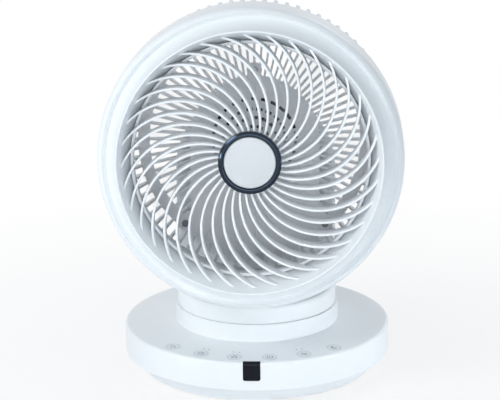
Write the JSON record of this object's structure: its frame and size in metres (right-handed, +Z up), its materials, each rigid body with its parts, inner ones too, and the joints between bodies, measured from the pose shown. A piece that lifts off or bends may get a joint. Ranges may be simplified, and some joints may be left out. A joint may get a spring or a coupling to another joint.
{
  "type": "air circulator fan",
  "caption": "Desktop air circulator fan: round tilting head with swept grille, on a swinging neck over a round touch-key base.",
  "frame": {"origin": "centre of the base on the surface it stands on", "axes": "+Z up, the air leaves towards -Y, +X to the right of someone facing the fan's front"},
  "size_m": [0.2332, 0.2207, 0.3108],
  "materials": {
    "casing_white": "smooth moulded white plastic with a soft gloss",
    "grille_white": "smooth moulded white plastic ribs",
    "rear_white": "satin moulded white plastic",
    "disc_white": "satin white plastic disc",
    "key_white": "satin white touch pads",
    "ring_dark_chrome": "dark polished chrome plating on plastic",
    "window_black": "polished black lens",
    "clear_plastic": "clear moulded plastic",
    "foot_rubber": "matt rubber",
    "screw_steel": "plated steel",
    "screw_dark": "blackened steel",
    "ballast_steel": "bare sheet steel",
    "pin_steel": "ground steel",
    "motor_steel": "zinc plated motor can",
    "motor_black": "black painted steel",
    "board_green": "printed circuit board",
    "black_plastic": "black moulded plastic",
    "bearing_plastic": "natural acetal"
  },
  "bodies": {
    "base": {"base_shell": "casing_white", "bottom_cover": "casing_white", "rubber_feet": "foot_rubber", "cover_screws": "screw_steel", "ballast_plate": "ballast_steel", "control_board": "board_green", "display_window": "window_black", "touch_pads": "key_white", "power_socket": "black_plastic", "swing_bush": "bearing_plastic", "swing_motor": "motor_steel", "swing_motor_screws": "screw_steel"},
    "drive_pinion": {"swing_pinion": "bearing_plastic"},
    "neck": {"neck_shell": "casing_white", "turntable": "casing_white", "neck_screws": "screw_steel", "ring_gear": "bearing_plastic", "gear_screws": "screw_steel", "tilt_bushes": "bearing_plastic"},
    "head": {"motor_housing": "casing_white", "tilt_pins": "pin_steel", "motor_plate": "motor_black", "fan_motor": "motor_black", "rear_shell": "rear_white", "head_screws": "screw_dark", "front_shell": "casing_white", "front_grille": "grille_white", "hub_ring": "ring_dark_chrome", "hub_cap": "disc_white"},
    "fan": {"fan_shaft": "pin_steel", "impeller": "clear_plastic", "blade_nut": "bearing_plastic"}
  },
  "joints": [
    {"name": "neck_swivel", "type": "hinge", "parent": "base", "child": "neck", "pos_m": [0, 0, 0.054], "axis": [0, 0, 1], "range_deg": [-40, 40]},
    {"name": "pinion_spin", "type": "hinge", "parent": "base", "child": "drive_pinion", "pos_m": [0, 0.0353, 0.0474], "axis": [0, 0, 1], "range_deg": [-100, 100]},
    {"name": "head_tilt", "type": "hinge", "parent": "neck", "child": "head", "pos_m": [0, 0.014, 0.1873], "axis": [-1, 0, 0], "range_deg": [-4, 26]},
    {"name": "fan_spin", "type": "hinge", "parent": "head", "child": "fan", "pos_m": [0, 0.014, 0.1873], "axis": [0, -0.9976, 0.0698], "continuous": true}
  ],
  "couplings": [
    {"joint": "pinion_spin", "follows": "neck_swivel", "ratio": -2.5}
  ]
}
